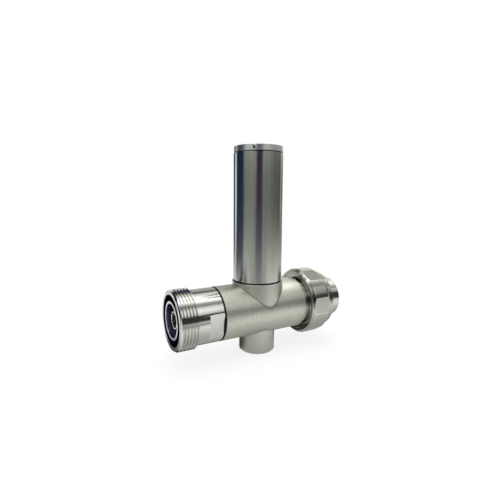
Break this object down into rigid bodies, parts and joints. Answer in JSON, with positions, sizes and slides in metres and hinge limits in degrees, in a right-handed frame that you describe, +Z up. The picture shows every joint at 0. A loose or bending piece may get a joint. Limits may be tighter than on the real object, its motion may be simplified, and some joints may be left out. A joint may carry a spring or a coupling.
{
  "type": "coaxial lightning arrestor",
  "caption": "T-shaped coaxial surge arrestor: threaded jack, plug with loose hex coupling nut, tall capped shorting stub above and a tapped earth boss below.",
  "frame": {"origin": "under the middle of the overall length, on the plane of the earth boss's lower face", "axes": "+X along the main line towards the plug and its nut, +Z up along the shorting stub, -Y is the side that faces the camera in the picture"},
  "size_m": [0.0936, 0.0348, 0.1035],
  "materials": {
    "blasted_nickel": "bead-blasted nickel plate, matte",
    "polished_nickel": "bright polished nickel plate",
    "satin_nickel": "satin nickel plate with bright edges",
    "turned_steel": "fine turned surface, semi-bright",
    "silver_plate": "silver plate, bright",
    "spring_steel": "oiled spring steel",
    "ptfe": "white fluoropolymer, waxy",
    "black_rubber": "black nitrile rubber",
    "red_silicone": "red silicone rubber"
  },
  "bodies": {
    "root": {"body_tee": "blasted_nickel", "jack_shell": "polished_nickel", "jack_socket": "silver_plate", "jack_bead": "ptfe", "jack_seal": "black_rubber", "inner_conductor": "silver_plate", "plug_shell": "polished_nickel", "plug_pin": "silver_plate", "plug_bead": "ptfe", "plug_seal": "black_rubber", "face_gasket": "red_silicone", "nut_snap_ring": "spring_steel", "stub_tube": "turned_steel", "stub_rod": "silver_plate", "stub_cap": "turned_steel", "stub_seal": "black_rubber", "cap_seal": "black_rubber"},
    "nut": {"coupling_nut": "satin_nickel"}
  },
  "joints": [
    {"name": "nut_turn", "type": "hinge", "parent": "root", "child": "nut", "pos_m": [0.0312, 0, 0.0223], "axis": [1, 0, 0], "continuous": true}
  ]
}
